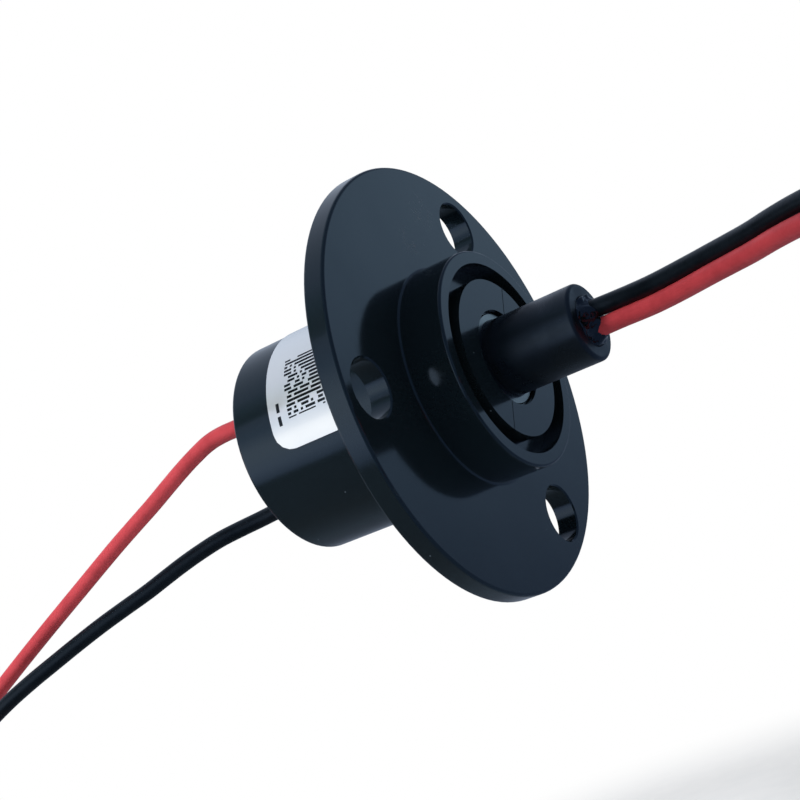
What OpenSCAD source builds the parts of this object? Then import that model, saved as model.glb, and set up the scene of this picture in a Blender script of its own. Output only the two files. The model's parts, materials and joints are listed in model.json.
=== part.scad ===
// Capsule slip ring with a mounting flange: a black moulded housing carries two
// brush holder halves, and a hollow rotor shaft with two contact rings turns in
// two ball bearings inside them.
//
// Frame: +X runs along the rotation axis towards the rotor tube, and +Z is up.
// The origin is on the axis, in the plane of the flange's rear face, which is
// the face that seats against a panel. Stations along X are named ..._x.

/* [Housing] */
// Outside diameter of the barrel behind the flange
barrel_d = 22; // [21:0.5:26]
// Length of the barrel behind the flange
barrel_l = 18.8; // [18.8:0.2:24]
// Outside diameter of the boss in front of the flange
boss_d = 22.3; // [21.5:0.1:26]
// Height of the boss above the flange
boss_h = 4.8; // [4.6:0.2:7]
// Diameter of the bore that runs through the housing
bore_d = 19.6; // [19.2:0.1:20.2]

/* [Flange] */
// Outside diameter of the flange
flange_d = 44.5; // [43.5:0.5:52]
// Thickness of the flange
flange_t = 2.3; // [2:0.1:4]
// Diameter of each mounting hole
hole_d = 5.8; // [4.2:0.1:6]
// Width of flange left between a mounting hole and the flange's outer edge
hole_margin = 1.35; // [1:0.05:2]
// Number of mounting holes
hole_count = 3; // [3:1:6]
// Radius on the flange's outer edges
flange_edge_r = 0.3; // [0.1:0.1:0.8]

/* [Brush holder] */
// Diameter of the neck that shows inside the boss
neck_d = 16.2; // [15:0.2:17]
// Depth of the ring-shaped groove around the neck
groove_depth = 2; // [1:0.2:3]
// Diameter of the hole around the rotor tube
neck_hole_d = 9.8; // [9.6:0.1:10.6]
// Thickness of the neck's front lip, which covers the bearing's edge
lip_t = 0.4; // [0.3:0.1:0.8]
// Diameter of the cavity for the rings and brushes
cavity_d = 17; // [16.8:0.1:17.2]
// Width of the parting line between the two halves
parting = 0.1; // [0.06:0.02:0.2]

/* [Rotor] */
// Outside diameter of the rotor tube in front of the boss
tube_d = 7.8; // [7:0.1:8]
// Length of the rotor tube in front of the boss
tube_l = 9.3; // [6:0.1:14]
// Inside diameter of the rotor tube
tube_bore_d = 4.6; // [4.2:0.1:4.8]
// Outside diameter of the shaft under the contact rings
ring_seat_d = 6.5; // [6.2:0.1:6.8]
// Outside diameter of a contact ring
ring_d = 9.2; // [9:0.1:9.4]
// Width of a contact ring
ring_w = 3; // [2.6:0.1:3.2]
// Depth of the grooves that the brush wires run in
ring_groove = 0.5; // [0.3:0.05:0.6]
// Outside diameter of the insulating spacers
spacer_d = 10.4; // [9.6:0.1:10.6]
// Width of the front and rear insulating spacers
spacer_w = 1.4; // [1:0.1:1.6]
// Width of the insulating spacer between the two rings
mid_spacer_w = 2; // [1.4:0.1:2.2]

/* [Front bearing] */
// Bore of the front ball bearing
front_bore_d = 8; // [8:0.1:8.2]
// Outside diameter of the front ball bearing
front_outer_d = 12; // [12:0.2:13]
// Width of the front ball bearing
front_bearing_w = 3.5; // [3:0.1:4]
// Number of balls in the front bearing
front_ball_count = 10; // [8:1:11]
// Ball diameter, as a share of the space between the front bearing's bore and outside
front_ball_share = 0.65; // [0.5:0.05:0.7]

/* [Rear bearing] */
// Bore of the rear ball bearing
rear_bore_d = 4; // [3.6:0.1:4.2]
// Outside diameter of the rear ball bearing
rear_outer_d = 7; // [6.8:0.1:7.4]
// Width of the rear ball bearing
rear_bearing_w = 2; // [1.8:0.1:2.2]
// Number of balls in the rear bearing
rear_ball_count = 8; // [6:1:8]
// Ball diameter, as a share of the space between the rear bearing's bore and outside
rear_ball_share = 0.55; // [0.5:0.05:0.65]

/* [Brushes] */
// Diameter of a brush wire
wire_d = 0.35; // [0.2:0.05:0.4]
// Thickness of a brush board
board_t = 0.8; // [0.6:0.1:1]
// Width of a brush board
board_w = 9.6; // [9.2:0.1:9.8]
// Distance from the rotation axis to a brush board's inner face
board_offset = 5.6; // [5.5:0.1:5.8]

/* [Leads] */
// Outside diameter of a lead's insulation
lead_d = 1.8; // [1.4:0.1:2]
// Diameter of a lead's bare strands
strand_d = 1; // [0.6:0.1:1.2]
// Distance from the rotation axis to each stator lead
lead_exit_r = 6.9; // [6.8:0.1:7.1]
// Length of tinned strands at the free end of a lead
tip_l = 6; // [3:1:10]

/* [Rear closure] */
// Thickness of the rear cap
cap_t = 1.6; // [1:0.1:2.4]
// Thickness of the potting disc behind the brush holder
potting_t = 1.2; // [0.8:0.1:2]

/* [Label] */
// Width of the label along the barrel
label_w = 10; // [6:0.5:12]
// Length of the label around the barrel
label_l = 25; // [10:1:40]
// Distance from the flange's rear face to the label
label_gap = 4.1; // [1:0.1:6]
// Thickness of the label
label_t = 0.1; // [0.05:0.05:0.2]

/* [Fits] */
// Radial clearance where one piece seats in or on another
fit = 0.02; // [0.01:0.01:0.05]
// Gap between end faces that move past each other
end_gap = 0.3; // [0.2:0.05:0.4]

/* [Hidden] */
$fn = 96;

// A cut runs this far past the face that it opens
cut = 1;

// Angles are about +X, from +Y towards +Z
hole_angle = 60;
parting_angle = 60;
red_side = parting_angle + 90;
black_side = parting_angle - 90;

// Housing
barrel_r = barrel_d / 2;
boss_r = boss_d / 2;
bore_r = bore_d / 2;
flange_r = flange_d / 2;
hole_r = hole_d / 2;
hole_circle_r = flange_r - hole_margin - hole_r;
hole_chamfer = 0.15;
boss_edge_r = 0.25;
barrel_edge_r = 0.4;
root_r = 0.3;
front_x = flange_t + boss_h;
rear_x = -barrel_l;

// Rear closure, from the back
cap_x = rear_x + cap_t;
holder_x = cap_x + potting_t;
holder_wall = 0.6;

// Brush holder
holder_r = bore_r - fit;
neck_x = front_x - groove_depth;
neck_r = neck_d / 2;
cavity_r = cavity_d / 2;
front_bearing_x = front_x - lip_t - front_bearing_w;
front_stop_w = 0.6;
cavity_front_x = front_bearing_x - front_stop_w;
shaft_end_recess = 0.4;
rear_bearing_x = holder_x + holder_wall + shaft_end_recess;
rear_stop_w = 0.4;
cavity_rear_x = rear_bearing_x + rear_bearing_w + rear_stop_w;

// Bearings: the race walls and the circle that the balls run on
front_pitch_r = (front_bore_d + front_outer_d) / 4;
rear_pitch_r = (rear_bore_d + rear_outer_d) / 4;
front_section = (front_outer_d - front_bore_d) / 2;
rear_section = (rear_outer_d - rear_bore_d) / 2;
front_ball_d = front_ball_share * front_section;
rear_ball_d = rear_ball_share * rear_section;
race_gap_share = 0.2;
front_race_gap = race_gap_share * front_section;
rear_race_gap = race_gap_share * rear_section;
race_clear = 0.02;
cage_rim = 0.3;
shield_t = 0.2;
shield_recess = 0.2;
shield_clear = 0.1;
front_ball_x = front_bearing_x + front_bearing_w / 2;
rear_ball_x = rear_bearing_x + rear_bearing_w / 2;

// Rotor, from the front bearing towards the rear
tube_r = tube_d / 2;
tube_end_x = front_x + tube_l;
tube_edge_r = 0.4;
seat_r = ring_seat_d / 2;
front_journal_r = front_bore_d / 2 - fit;
rear_journal_r = rear_bore_d / 2 - fit;
front_shoulder_h = 0.4;
collar_r = front_bore_d / 2 + front_shoulder_h;
stack_x = cavity_front_x - end_gap;
ring_red_x = stack_x - spacer_w - ring_w;
mid_spacer_x = ring_red_x - mid_spacer_w;
ring_black_x = mid_spacer_x - ring_w;
rear_spacer_x = ring_black_x - spacer_w;
ring_collar_w = 1.5;
ring_collar_x = rear_spacer_x - ring_collar_w;
ring_collar_wall = 1.15;
ring_collar_r = seat_r + ring_collar_wall;
rear_shoulder_h = 0.5;
shoulder_r = rear_bore_d / 2 + rear_shoulder_h;
rear_shoulder_x = rear_bearing_x + rear_bearing_w;
tube_bore_end_x = ring_black_x + ring_w / 2 - strand_d;

// Contact rings and brushes
ring_r = ring_d / 2;
groove_pitch = ring_w / 2;
groove_bottom_r = ring_r - ring_groove;
wire_gap = 0.02;
wire_r = wire_d / 2;
wire_offset = groove_bottom_r + wire_r + wire_gap;
wire_tail = 2;
board_seat_l = 1.6;
board_clear = 0.05;
board_front_x = cavity_front_x - board_clear;
board_rear_x = cavity_rear_x + board_clear;
rail_h = 0.7;
rail_in = 0.9;

// Label: its lower end, as an angle, and the radius on its corners, whose cut
// starts just outside the label's edge
label_end_angle = 187;
label_corner = 2;
label_corner_over = 0.01;
label_rear_x = -label_gap - label_w;

// Leads
lead_r = lead_d / 2;
strand_r = strand_d / 2;
strand_before_board = 0.6;
lead_bare_x = board_rear_x - strand_before_board;
strand_lap = 2.4;
strand_bare_l = 1;
strand_clear = 0.1;
exit_clear = 0.1;
plug_l = 3;
plug_rise = 0.7;
plug_crown = 0.35;
plug_r = tube_bore_d / 2 - fit;
plug_x = tube_end_x - plug_l;
plug_front_x = tube_end_x + plug_rise;
rotor_lead_gap = 0.06;
rotor_lead_z = lead_r + rotor_lead_gap / 2;

// Spare length of each pair of leads: two coils side by side on one axis, tied together.
// A coil pair is [centre, turn about Z, angle where the leads join, winding sense].
coil_r = 9.2;
coil_turns = 3;
turn_pitch = 1.9;
coil_w = coil_turns * turn_pitch + lead_d;
coil_gap = 0.2;
tail_l = 10;
tie_w = 2.4;
tie_t = 0.5;
tie_gap = 0.12;
stator_coils = [[-86, -2.8, -38], 0, 165, 1];
rotor_coils = [[52, -20, -20], -37, 15, -1];

// Centre lines of the leads, from the exit to the coil
stator_red_exit = [rear_x, lead_exit_r * cos(red_side), lead_exit_r * sin(red_side)];
stator_black_exit = [rear_x, lead_exit_r * cos(black_side), lead_exit_r * sin(black_side)];
rotor_red_exit = [plug_front_x, 0, -rotor_lead_z];
rotor_black_exit = [plug_front_x, 0, rotor_lead_z];
stator_red_route = [
  [-22, -6, 3.6], [-26, -5.4, 3.5], [-31.5, -4.2, 2.2], [-37.5, -3.2, 0.2],
  [-44.5, -2.5, -2.2], [-52, -1.8, -5], [-60.5, -1.4, -8.4], [-69, -1.5, -12.2],
  [-77, -1.6, -16], [-84.5, -1.7, -20.8], [-90.5, -1.8, -26.5], [-93.6, -1.8, -31],
];
stator_black_route = [
  [-22, 6, -3.6], [-26, 6.2, -4.4], [-31, 5.6, -4.9], [-36, 4.1, -5.4],
  [-41, 2.8, -6.5], [-46, 1.4, -8], [-52, -0.4, -9.6], [-59, -2.4, -11.8],
  [-66.5, -4.2, -14.4], [-75, -4.4, -18], [-83, -4, -22.6], [-90, -3.8, -28.5],
];
rotor_red_route = [
  [19.6, -0.4, -1], [23.4, -1.9, -1.2], [27, -3.7, -1.2], [31, -6.1, -1.2],
  [36, -9.5, -1.3], [41.7, -13.7, -1.4], [48.2, -18.5, -2.6], [54, -22.9, -6.4],
  [57.6, -25.6, -12],
];
rotor_black_route = [
  [20.2, -0.4, 0.9], [23.9, -1.8, 0.8], [27.4, -3.3, 0.8], [31.4, -5.5, 0.8],
  [36.2, -8.4, 0.7], [42.1, -12.7, 0.6], [49, -17.5, -0.6], [55.2, -21.6, -4.2],
  [59, -24.3, -10.4],
];

// ---- Helpers ----

// Turns a shape drawn about +Z so that it lies about +X, starting at station x
module along_x(x = 0) {
  translate([x, 0, 0]) rotate([0, 90, 0]) children();
}

// Solid of revolution about +X; each point is [radius, x]
module turned(points) {
  along_x() rotate_extrude() polygon(points);
}

// Plain sleeve about +X
module sleeve(x, length, r_in, r_out) {
  along_x(x) difference() {
    cylinder(h = length, r = r_out);
    translate([0, 0, -cut]) cylinder(h = length + 2 * cut, r = r_in);
  }
}

// Round bar parallel to +X, at a distance from the axis and at an angle about it
module bar_at(angle, offset, x, length, r) {
  rotate([angle, 0, 0]) translate([0, offset, 0]) along_x(x) cylinder(h = length, r = r);
}

// Box in a side's own frame: y points from the axis towards that side
module box_at(angle, low, high) {
  rotate([angle, 0, 0]) translate(low) cube(high - low);
}

// Quarter arc of profile points about a centre, from one angle to another
function arc(centre, r, from, to, steps = 6) =
  [for (i = [0:steps]) let (a = from + (to - from) * i / steps) centre + r * [cos(a), sin(a)]];

// ---- Housing ----

// One moulding: barrel, flange and boss round a through bore
module housing() {
  color("dimgray") difference() {
    turned(concat(
      [[bore_r, front_x], [bore_r, rear_x]],
      arc([barrel_r - barrel_edge_r, rear_x + barrel_edge_r], barrel_edge_r, -90, 0),
      arc([barrel_r + root_r, -root_r], root_r, 180, 90),
      arc([flange_r - flange_edge_r, flange_edge_r], flange_edge_r, -90, 0),
      arc([flange_r - flange_edge_r, flange_t - flange_edge_r], flange_edge_r, 0, 90),
      arc([boss_r + boss_edge_r, flange_t + boss_edge_r], boss_edge_r, -90, -180),
      arc([boss_r - boss_edge_r, front_x - boss_edge_r], boss_edge_r, 0, 90)
    ));
    for (i = [0:hole_count - 1])
      rotate([hole_angle + i * 360 / hole_count, 0, 0]) translate([0, hole_circle_r, 0]) mounting_hole();
  }
}

// Cutter for one mounting hole, with a small chamfer at the flange's front face
module mounting_hole() {
  turned([
    [0, -cut], [hole_r, -cut], [hole_r, flange_t - hole_chamfer],
    [hole_r + hole_chamfer + cut, flange_t + cut], [0, flange_t + cut],
  ]);
}

// ---- Rear closure ----

// Cap that closes the rear of the bore, with one hole for each stator lead
module rear_cap() {
  color("dimgray") difference() {
    along_x(rear_x) cylinder(h = cap_t, r = bore_r - fit);
    for (side = [red_side, black_side])
      bar_at(side, lead_exit_r, rear_x - cut, cap_t + 2 * cut, lead_r + exit_clear);
  }
}

// Resin disc that locks the stator leads behind the brush holder
module rear_potting() {
  color("darkolivegreen") difference() {
    along_x(cap_x) cylinder(h = potting_t, r = bore_r - fit);
    for (side = [red_side, black_side])
      bar_at(side, lead_exit_r, cap_x - cut, potting_t + 2 * cut, lead_r + fit);
  }
}

// ---- Brush holder ----

// The holder before it is split: neck, bearing seats, cavity and lead holes
module brush_holder_whole() {
  difference() {
    turned([
      [0, holder_x], [holder_r, holder_x], [holder_r, neck_x], [neck_r, neck_x],
      [neck_r, front_x], [neck_hole_d / 2, front_x],
      [neck_hole_d / 2, front_x - lip_t], [front_outer_d / 2 + fit, front_x - lip_t],
      [front_outer_d / 2 + fit, front_bearing_x],
      [front_outer_d / 2 - front_race_gap, front_bearing_x],
      [front_outer_d / 2 - front_race_gap, cavity_front_x],
      [cavity_r, cavity_front_x], [cavity_r, cavity_rear_x],
      [rear_outer_d / 2 - rear_race_gap, cavity_rear_x],
      [rear_outer_d / 2 - rear_race_gap, rear_bearing_x + rear_bearing_w],
      [rear_outer_d / 2 + fit, rear_bearing_x + rear_bearing_w],
      [rear_outer_d / 2 + fit, rear_bearing_x],
      [rear_outer_d / 2 - rear_race_gap, rear_bearing_x],
      [rear_outer_d / 2 - rear_race_gap, holder_x + holder_wall],
      [0, holder_x + holder_wall],
    ]);
    for (side = [red_side, black_side])
      bar_at(side, lead_exit_r, holder_x - cut, cavity_rear_x - holder_x + 2 * cut, lead_r + exit_clear);
  }
  for (side = [red_side, black_side]) board_rails(side);
}

// Corner seats that hold the ends of one brush board
module board_rails(side) {
  low_y = board_offset - rail_h;
  intersection() {
    sleeve(cavity_rear_x - fit, cavity_front_x - cavity_rear_x + 2 * fit, low_y, cavity_r + fit);
    for (x = [cavity_rear_x - fit, cavity_front_x + fit - board_seat_l], z = [-1, 1])
      box_at(side,
        [x, low_y, z > 0 ? board_w / 2 - rail_in : -cavity_r],
        [x + board_seat_l, board_offset - board_clear, z > 0 ? cavity_r : rail_in - board_w / 2]);
  }
}

// One half of the holder, on the side that its angle points to
module brush_holder_half(side) {
  intersection() {
    brush_holder_whole();
    box_at(side, [rear_x - cut, parting / 2, -bore_r - cut], [front_x + cut, bore_r + cut, bore_r + cut]);
  }
}

module brush_holder_left() {
  color("darkslategray") brush_holder_half(red_side);
}

module brush_holder_right() {
  color("darkslategray") brush_holder_half(black_side);
}

// ---- Brushes ----

// Where the two grooves of a ring lie, as stations along X
function groove_stations(ring_x) = [for (k = [-1, 1]) ring_x + ring_w / 2 + k * groove_pitch / 2];

// Insulating board with a hole for each brush wire
module brush_board(side, ring_x) {
  difference() {
    box_at(side,
      [board_rear_x, board_offset, -board_w / 2],
      [board_front_x, board_offset + board_t, board_w / 2]);
    for (x = groove_stations(ring_x), z = [-1, 1])
      rotate([side, 0, 0]) translate([x, board_offset - cut, z * wire_offset]) rotate([-90, 0, 0])
        cylinder(h = board_t + 2 * cut, r = wire_r + fit, $fn = 24);
  }
}

// Four straight wires that stand in the board and press on both sides of a ring
module brush_wires(side, ring_x) {
  for (x = groove_stations(ring_x), z = [-1, 1])
    rotate([side, 0, 0]) translate([x, -wire_tail, z * wire_offset]) rotate([-90, 0, 0])
      cylinder(h = board_offset + board_t + wire_tail + wire_d, r = wire_r, $fn = 24);
}

module brush_board_red() {
  color("forestgreen") brush_board(red_side, ring_red_x);
}

module brush_board_black() {
  color("forestgreen") brush_board(black_side, ring_black_x);
}

module brushes_red() {
  color("goldenrod") brush_wires(red_side, ring_red_x);
}

module brushes_black() {
  color("goldenrod") brush_wires(black_side, ring_black_x);
}

// Lead from the rear cap to its board: insulation, then bare strands on the board
module stator_inner_lead(side) {
  strand_l = board_rear_x + strand_lap - lead_bare_x;
  bar_at(side, lead_exit_r, rear_x, lead_bare_x - rear_x, lead_r);
  bar_at(side, board_offset + board_t + strand_r, lead_bare_x, strand_l, strand_r);
}

module stator_inner_lead_red() {
  color("firebrick") stator_inner_lead(red_side);
}

module stator_inner_lead_black() {
  color("black") stator_inner_lead(black_side);
}

// ---- Bearings ----

// Outer race with its ball groove
module outer_race(x, w, pitch_r, outer_r, gap, ball_d) {
  difference() {
    sleeve(x, w, pitch_r + gap, outer_r);
    ball_groove(x + w / 2, pitch_r, ball_d);
  }
}

// Inner race with its ball groove
module inner_race(x, w, pitch_r, inner_r, gap, ball_d) {
  difference() {
    sleeve(x, w, inner_r, pitch_r - gap);
    ball_groove(x + w / 2, pitch_r, ball_d);
  }
}

// Ring-shaped space that the balls run in
module ball_groove(x, pitch_r, ball_d) {
  along_x(x) rotate_extrude() translate([pitch_r, 0]) circle(r = ball_d / 2 + race_clear, $fn = 48);
}

// Ring of equally spaced balls
module ball_ring(x, pitch_r, ball_d, count, grow = 0) {
  for (i = [0:count - 1])
    rotate([i * 360 / count, 0, 0]) translate([x, pitch_r, 0]) sphere(d = ball_d + 2 * grow, $fn = 32);
}

// Cage: a ring with a round pocket for each ball
module ball_cage(x, pitch_r, wall, ball_d, count) {
  cage_w = ball_d + 2 * cage_rim;
  difference() {
    sleeve(x - cage_w / 2, cage_w, pitch_r - wall / 2, pitch_r + wall / 2);
    ball_ring(x, pitch_r, ball_d, count, 2 * race_clear);
  }
}

module front_bearing_outer_race() {
  color("silver") outer_race(
    front_bearing_x, front_bearing_w, front_pitch_r, front_outer_d / 2, front_race_gap, front_ball_d);
}

module front_bearing_inner_race() {
  color("silver") inner_race(
    front_bearing_x, front_bearing_w, front_pitch_r, front_bore_d / 2, front_race_gap, front_ball_d);
}

module front_bearing_balls() {
  color("lightsteelblue") ball_ring(front_ball_x, front_pitch_r, front_ball_d, front_ball_count);
}

module front_bearing_cage() {
  color("tan") ball_cage(front_ball_x, front_pitch_r, front_race_gap, front_ball_d, front_ball_count);
}

// Two thin discs fixed in the outer race, one at each end of the balls
module front_bearing_shields() {
  inner_r = front_pitch_r - front_race_gap + shield_clear;
  outer_r = front_pitch_r + front_race_gap - fit;
  for (x = [front_bearing_x + shield_recess, front_bearing_x + front_bearing_w - shield_recess - shield_t])
    color("gray") sleeve(x, shield_t, inner_r, outer_r);
}

module rear_bearing_outer_race() {
  color("silver") outer_race(
    rear_bearing_x, rear_bearing_w, rear_pitch_r, rear_outer_d / 2, rear_race_gap, rear_ball_d);
}

module rear_bearing_inner_race() {
  color("silver") inner_race(
    rear_bearing_x, rear_bearing_w, rear_pitch_r, rear_bore_d / 2, rear_race_gap, rear_ball_d);
}

module rear_bearing_balls() {
  color("lightsteelblue") ball_ring(rear_ball_x, rear_pitch_r, rear_ball_d, rear_ball_count);
}

module rear_bearing_cage() {
  color("tan") ball_cage(rear_ball_x, rear_pitch_r, rear_race_gap, rear_ball_d, rear_ball_count);
}

// ---- Rotor ----

// Hollow shaft: tube, front journal, collar, ring seat, shoulder and rear journal
module rotor_shaft() {
  color("dimgray") difference() {
    turned(concat(
      [
        [0, rear_bearing_x - fit], [rear_journal_r, rear_bearing_x - fit],
        [rear_journal_r, rear_shoulder_x], [shoulder_r, rear_shoulder_x],
        [shoulder_r, ring_collar_x - fit], [seat_r, ring_collar_x - fit],
        [seat_r, stack_x], [collar_r, stack_x], [collar_r, front_bearing_x],
        [front_journal_r, front_bearing_x], [front_journal_r, front_x - lip_t / 2],
        [tube_r, front_x - lip_t / 2],
      ],
      arc([tube_r - tube_edge_r, tube_end_x - tube_edge_r], tube_edge_r, 0, 90),
      [[tube_bore_d / 2, tube_end_x], [tube_bore_d / 2, tube_bore_end_x], [0, tube_bore_end_x]]
    ));
    tap(ring_red_x, -1, 0, seat_r + cut, strand_r + strand_clear);
    tap(ring_black_x, 1, 0, seat_r + cut, strand_r + strand_clear);
  }
}

module front_spacer() {
  color("ivory") sleeve(stack_x - spacer_w, spacer_w, seat_r + fit, spacer_d / 2);
}

module middle_spacer() {
  color("ivory") sleeve(mid_spacer_x, mid_spacer_w, seat_r + fit, spacer_d / 2);
}

module rear_spacer() {
  color("ivory") sleeve(rear_spacer_x, spacer_w, seat_r + fit, spacer_d / 2);
}

// Collar pressed on behind the rear spacer, which clamps the stack
module ring_collar() {
  color("gray") sleeve(ring_collar_x, ring_collar_w, seat_r + fit, ring_collar_r);
}

// Contact ring with two V-shaped grooves for the brush wires
module contact_ring(x) {
  grooves = [for (g = groove_stations(x)) each [
    [ring_r, g - ring_groove], [groove_bottom_r, g - wire_r / 2],
    [groove_bottom_r, g + wire_r / 2], [ring_r, g + ring_groove],
  ]];
  turned(concat(
    [[seat_r + fit, x + ring_w], [seat_r + fit, x], [ring_r, x]], grooves, [[ring_r, x + ring_w]]
  ));
}

module contact_ring_red() {
  color("gold") contact_ring(ring_red_x);
}

module contact_ring_black() {
  color("gold") contact_ring(ring_black_x);
}

// Radial bar or hole at the middle of a ring; up is 1 or -1 along Z
module tap(ring_x, up, from, to, r) {
  translate([ring_x + ring_w / 2, 0, 0]) rotate([up > 0 ? 0 : 180, 0, 0]) translate([0, 0, from])
    cylinder(h = to - from, r = r, $fn = 32);
}

// Lead inside the tube: insulation up to its ring, then strands out to the ring
module rotor_inner_lead(up, ring_x) {
  mid_x = ring_x + ring_w / 2;
  translate([0, 0, up * rotor_lead_z]) {
    along_x(mid_x + strand_bare_l) cylinder(h = plug_front_x - mid_x - strand_bare_l, r = lead_r);
    along_x(mid_x - strand_r) cylinder(h = strand_bare_l + strand_d, r = strand_r);
  }
  tap(ring_x, up, rotor_lead_z, seat_r, strand_r);
}

module rotor_inner_lead_red() {
  color("firebrick") rotor_inner_lead(-1, ring_red_x);
}

module rotor_inner_lead_black() {
  color("black") rotor_inner_lead(1, ring_black_x);
}

// Epoxy that fills the tube's mouth and domes out around the two leads
module tube_epoxy() {
  color("darkslategray") difference() {
    turned([
      [0, plug_x], [plug_r, plug_x], [plug_r, tube_end_x + plug_rise / 4],
      [plug_r - plug_crown / 3, tube_end_x + plug_rise * 3 / 4], [plug_r - plug_crown, plug_front_x],
      [0, plug_front_x],
    ]);
    for (up = [-1, 1])
      translate([0, 0, up * rotor_lead_z]) along_x(plug_x - cut)
        cylinder(h = plug_l + plug_rise + 2 * cut, r = lead_r + fit);
  }
}

// ---- Label ----

// Cutter that rounds one corner of the label; end is -1 or 1 along its length,
// side is -1 or 1 along the barrel
module label_corner_cut(angle, x, end, side) {
  beyond = label_corner + cut;
  outline = concat(
    arc([0, 0], label_corner + label_corner_over, 0, 90, 4),
    [[0, beyond], [beyond, beyond], [beyond, 0]]);
  rotate([angle, 0, 0]) translate([x, 0, 0]) rotate([-90, 0, 0]) linear_extrude(barrel_d)
    polygon([for (p = outline) [side * p[0], -end * p[1]]]);
}

// Thin skin round the barrel, with rounded corners
module label() {
  degrees = 180 / (PI * barrel_r);
  span = label_l * degrees;
  middle = label_end_angle - span / 2;
  corner_span = span / 2 - label_corner * degrees;
  color("whitesmoke") difference() {
    rotate([middle - span / 2, 0, 0]) along_x(label_rear_x) rotate_extrude(angle = span, start = 90)
      translate([barrel_r, 0]) square([label_t, label_w]);
    for (end = [-1, 1], side = [-1, 1])
      label_corner_cut(
        middle + end * corner_span,
        label_rear_x + label_w / 2 + side * (label_w / 2 - label_corner), end, side);
  }
}

// ---- Leads ----

function unit(v) = v / norm(v);

// Catmull-Rom point between p1 and p2
function blend(p0, p1, p2, p3, t) =
  p1 + (p2 - p0) * t / 2 + (2 * p0 - 5 * p1 + 4 * p2 - p3) * t ^ 2 / 2
  + (3 * p1 - p0 - 3 * p2 + p3) * t ^ 3 / 2;

// Route points with one more between each pair, on a smooth curve
function smooth(p) =
  let (last = len(p) - 1)
  concat(
    [for (i = [0:last - 1], t = [0, 0.5]) blend(p[max(i - 1, 0)], p[i], p[i + 1], p[min(i + 2, last)], t)],
    [p[last]]
  );

// Direction of travel at point i; the two ends have directions of their own
function heading(p, i, first, last) =
  i == 0 ? first : i == len(p) - 1 ? last : unit(p[i + 1] - p[i - 1]);

// Corners of the tube's outline at a point, square to its direction
function outline_at(p, dir, sides) =
  let (across = unit(cross(dir, [0, 0, 1])), above = cross(across, dir))
  [for (k = [0:sides - 1]) p + lead_r * (cos(k * 360 / sides) * across + sin(k * 360 / sides) * above)];

// Round lead swept along its route as one closed surface
module lead(route, first, last) {
  sides = 8;
  p = smooth(route);
  rings = len(p);
  corners = [for (i = [0:rings - 1]) each outline_at(p[i], heading(p, i, first, last), sides)];
  walls = [for (i = [0:rings - 2], k = [0:sides - 1])
    let (a = i * sides + k, b = i * sides + (k + 1) % sides)
    each [[a, b, b + sides], [a, b + sides, a + sides]]];
  near_end = [for (k = [sides - 1:-1:0]) k];
  far_end = [for (k = [0:sides - 1]) (rings - 1) * sides + k];
  polyhedron(points = corners, faces = concat(walls, [near_end, far_end]));
}

// Coil's own frame: its axis along y, its turns in the x-z plane
module at_coil(coils) {
  translate(coils[0]) rotate([0, 0, coils[1]]) children();
}

// Station of the first turn along the coil's axis; side is 1 or -1
function first_turn_y(side) = side * (lead_r + coil_gap / 2);

// Point where a lead joins its coil, and its direction there
function join_point(coils, side) =
  let (x = coil_r * cos(coils[2]), y = first_turn_y(side), c = cos(coils[1]), s = sin(coils[1]))
  coils[0] + [x * c - y * s, x * s + y * c, coil_r * sin(coils[2])];
function join_direction(coils) =
  let (x = -coils[3] * sin(coils[2]))
  [x * cos(coils[1]), x * sin(coils[1]), coils[3] * cos(coils[2])];

// Straight bar along the coil's tangent at the join, on its last turn
module coil_end(coils, side, from, length, r) {
  y = first_turn_y(side) + side * coil_turns * turn_pitch;
  at_coil(coils) translate([coil_r * cos(coils[2]), y, coil_r * sin(coils[2])])
    rotate([0, (coils[3] > 0 ? 0 : 180) - coils[2], 0]) translate([0, 0, from])
      cylinder(h = length, r = r);
}

// Outer shape of one coil, with the insulated tail that leaves it
module lead_coil(coils, side) {
  at_coil(coils) translate([0, side * (coil_gap + coil_w) / 2, 0]) rotate([90, 0, 0]) rotate_extrude()
    translate([coil_r - lead_r, -coil_w / 2]) square([lead_d, coil_w]);
  coil_end(coils, side, 0, tail_l, lead_r);
}

// Rectangle with rounded corners, about the origin
module rounded(w, h, r) {
  square([w - 2 * r, h], center = true);
  square([w, h - 2 * r], center = true);
  for (x = [-1, 1], y = [-1, 1]) translate([x * (w / 2 - r), y * (h / 2 - r)]) circle(r = r);
}

// Flat band round both coils of a pair, at their lowest point
module coil_tie(coils) {
  inner_w = coil_gap + 2 * (coil_w + tie_gap);
  inner_h = lead_d + 2 * tie_gap;
  at_coil(coils) translate([0, 0, -coil_r]) rotate([90, 0, 90]) linear_extrude(tie_w, center = true)
    difference() {
      rounded(inner_w + 2 * tie_t, inner_h + 2 * tie_t, tie_t);
      square([inner_w, inner_h], center = true);
    }
}

// The whole lead from its exit to its coil
module lead_to_coil(exit, first, route, coils, side) {
  lead(concat([exit], route, [join_point(coils, side)]), first, join_direction(coils));
}

module stator_lead_red() {
  color("firebrick") lead_to_coil(stator_red_exit, [-1, 0, 0], stator_red_route, stator_coils, 1);
}

module stator_lead_black() {
  color("black") lead_to_coil(stator_black_exit, [-1, 0, 0], stator_black_route, stator_coils, -1);
}

module stator_coil_red() {
  color("firebrick") lead_coil(stator_coils, 1);
}

module stator_coil_black() {
  color("black") lead_coil(stator_coils, -1);
}

module stator_tip_red() {
  color("silver") coil_end(stator_coils, 1, tail_l, tip_l, strand_r);
}

module stator_tip_black() {
  color("silver") coil_end(stator_coils, -1, tail_l, tip_l, strand_r);
}

module stator_coil_tie() {
  color("white") coil_tie(stator_coils);
}

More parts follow.
